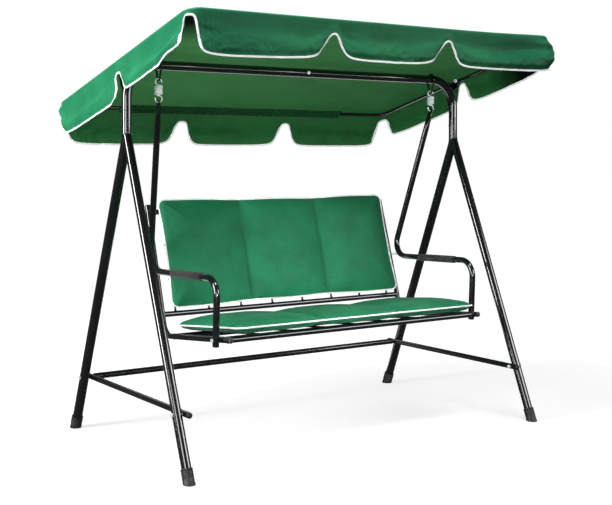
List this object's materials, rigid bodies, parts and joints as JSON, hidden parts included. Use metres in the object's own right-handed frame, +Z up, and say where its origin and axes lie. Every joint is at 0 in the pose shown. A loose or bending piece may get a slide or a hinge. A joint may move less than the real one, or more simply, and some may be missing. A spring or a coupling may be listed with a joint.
{
  "type": "canopy swing bench",
  "caption": "Garden swing bench: a cushioned bench hung on two springs from an A-frame of steel tube, under a tilting cloth canopy with scalloped edges.",
  "frame": {"origin": "on the ground, under the middle of the frame, below the crossbar", "axes": "+Z up, +X to the right of someone facing the front, along the crossbar, +Y from the front to the rear"},
  "size_m": [1.742, 1.1353, 1.6125],
  "materials": {
    "black_paint": "gloss powder coat",
    "green_polyester": "coated polyester cloth",
    "zinc": "bright zinc plating",
    "black_plastic": "moulded",
    "grip_foam": "soft foam"
  },
  "bodies": {
    "frame": {"crossbar_bolt": "zinc", "crossbar_left": "black_paint", "crossbar_right": "black_paint", "left_canopy_bracket": "black_paint", "left_front_brace_bolt": "zinc", "left_front_foot": "black_plastic", "left_front_leg": "black_paint", "left_hanger_loop": "black_paint", "left_leg_brace": "black_paint", "left_rear_brace_bolt": "zinc", "left_rear_foot": "black_plastic", "left_rear_leg": "black_paint", "left_socket_bolt": "zinc", "rear_stretcher": "black_paint", "right_canopy_bracket": "black_paint", "right_front_brace_bolt": "zinc", "right_front_foot": "black_plastic", "right_front_leg": "black_paint", "right_hanger_loop": "black_paint", "right_leg_brace": "black_paint", "right_rear_brace_bolt": "zinc", "right_rear_foot": "black_plastic", "right_rear_leg": "black_paint", "right_socket_bolt": "zinc"},
    "canopy": {"canopy_front_tube": "black_paint", "canopy_rear_tube": "black_paint", "canopy_roof": "green_polyester", "front_valance": "green_polyester", "left_canopy_joiner": "black_paint", "left_pivot_bolt": "zinc", "left_pivot_spacer": "black_plastic", "left_valance": "green_polyester", "rear_valance": "green_polyester", "right_canopy_joiner": "black_paint", "right_pivot_bolt": "zinc", "right_pivot_spacer": "black_plastic", "right_valance": "green_polyester"},
    "springs": {"left_spring": "zinc", "right_spring": "zinc"},
    "bushes": {"left_hook_bush": "black_plastic", "right_hook_bush": "black_plastic"},
    "seat": {"back_cushion": "green_polyester", "back_grid": "black_paint", "back_lower_rail": "black_paint", "back_top_rail": "black_paint", "left_arm_grip": "grip_foam", "left_front_seat_bolt": "zinc", "left_hanger_arm": "black_paint", "left_rear_seat_bolt": "zinc", "left_side_tube": "black_paint", "right_arm_grip": "grip_foam", "right_front_seat_bolt": "zinc", "right_hanger_arm": "black_paint", "right_rear_seat_bolt": "zinc", "right_side_tube": "black_paint", "seat_cushion": "green_polyester", "seat_front_rail": "black_paint", "seat_grid": "black_paint", "seat_rear_rail": "black_paint"}
  },
  "joints": [
    {"name": "canopy_tilt", "type": "hinge", "parent": "frame", "child": "canopy", "pos_m": [0, 0, 1.46], "axis": [1, 0, 0], "range_deg": [-6, 34]},
    {"name": "swing_pivot", "type": "hinge", "parent": "frame", "child": "springs", "pos_m": [0, 0, 1.4097], "axis": [1, 0, 0], "range_deg": [-20, 20]},
    {"name": "spring_stretch", "type": "slide", "parent": "springs", "child": "bushes", "axis": [0, 0, -1], "range_m": [0, 0.03], "stiffness_N_per_m": 50000, "springref_m": -0.008, "deforming": ["left_spring", "right_spring"]},
    {"name": "hanger_pivot", "type": "hinge", "parent": "bushes", "child": "seat", "pos_m": [0, 0, 1.3175], "axis": [1, 0, 0], "range_deg": [-10, 10]}
  ]
}
